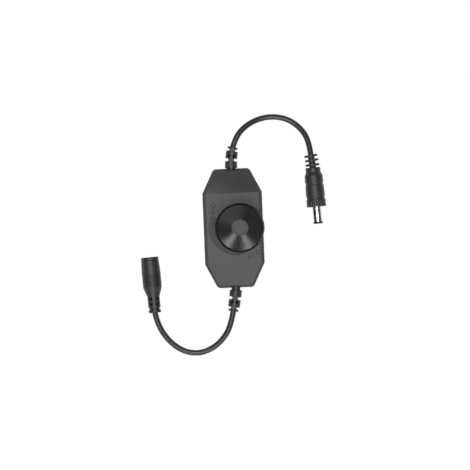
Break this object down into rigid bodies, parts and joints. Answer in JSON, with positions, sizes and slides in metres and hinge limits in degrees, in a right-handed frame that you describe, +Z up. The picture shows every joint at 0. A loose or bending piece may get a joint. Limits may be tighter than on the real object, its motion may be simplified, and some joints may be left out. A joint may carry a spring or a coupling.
{
  "type": "rotary cord dimmer",
  "caption": "In-line rotary dimmer for low-voltage lamps: long eight-sided black housing, overhanging turning knob, short cords to a barrel jack and a barrel plug.",
  "frame": {"origin": "centre of the housing's flat underside", "axes": "+Z up through the knob, +Y along the housing towards the output cord, +X towards the side that the knob overhangs"},
  "size_m": [0.1102, 0.1406, 0.0303],
  "materials": {
    "housing_plastic": "fine satin moulded texture",
    "knob_plastic": "spun gloss",
    "shaft_plastic": "plain",
    "soft_vinyl": "soft satin",
    "cable_jacket": "smooth satin",
    "insert_plastic": "smooth",
    "nickel": "bright nickel plate",
    "screw_steel": "zinc plate",
    "plated_steel": "tin plate",
    "brass": "turned",
    "phenolic": "pressed laminate",
    "carbon_track": "printed carbon",
    "board": "solder mask",
    "chip_plastic": "moulded",
    "capacitor_can": "drawn",
    "ceramic": "glazed",
    "ceramic_tan": "fired",
    "wire_red": "insulation",
    "wire_black": "insulation"
  },
  "bodies": {
    "housing": {"lower_housing": "housing_plastic", "upper_housing": "housing_plastic", "housing_screws": "screw_steel", "pot_track": "carbon_track", "pot_case": "plated_steel", "pot_bushing": "brass", "pot_washer": "plated_steel", "pot_nut": "plated_steel", "switch_block": "phenolic", "pot_terminals": "plated_steel", "circuit_board": "board", "timer_chip": "chip_plastic", "power_transistor": "chip_plastic", "smoothing_capacitor": "capacitor_can", "flyback_diode": "chip_plastic", "chip_resistors": "ceramic", "chip_capacitors": "ceramic_tan", "output_relief": "soft_vinyl", "input_relief": "soft_vinyl", "output_cable": "cable_jacket", "input_cable": "cable_jacket", "output_wire_red": "wire_red", "output_wire_black": "wire_black", "input_wire_red": "wire_red", "input_wire_black": "wire_black", "plug_body": "soft_vinyl", "plug_barrel": "nickel", "plug_insulator": "insert_plastic", "plug_contact": "brass", "jack_body": "soft_vinyl", "jack_insulator": "insert_plastic", "jack_sleeve": "nickel", "jack_pin": "nickel"},
    "knob": {"knob": "knob_plastic", "pot_shaft": "shaft_plastic", "pot_rotor": "phenolic", "pot_wiper": "brass"}
  },
  "joints": [
    {"name": "knob_turn", "type": "hinge", "parent": "housing", "child": "knob", "pos_m": [0.0038, 0, 0.02], "axis": [0, 0, 1], "range_deg": [-150, 150]}
  ]
}
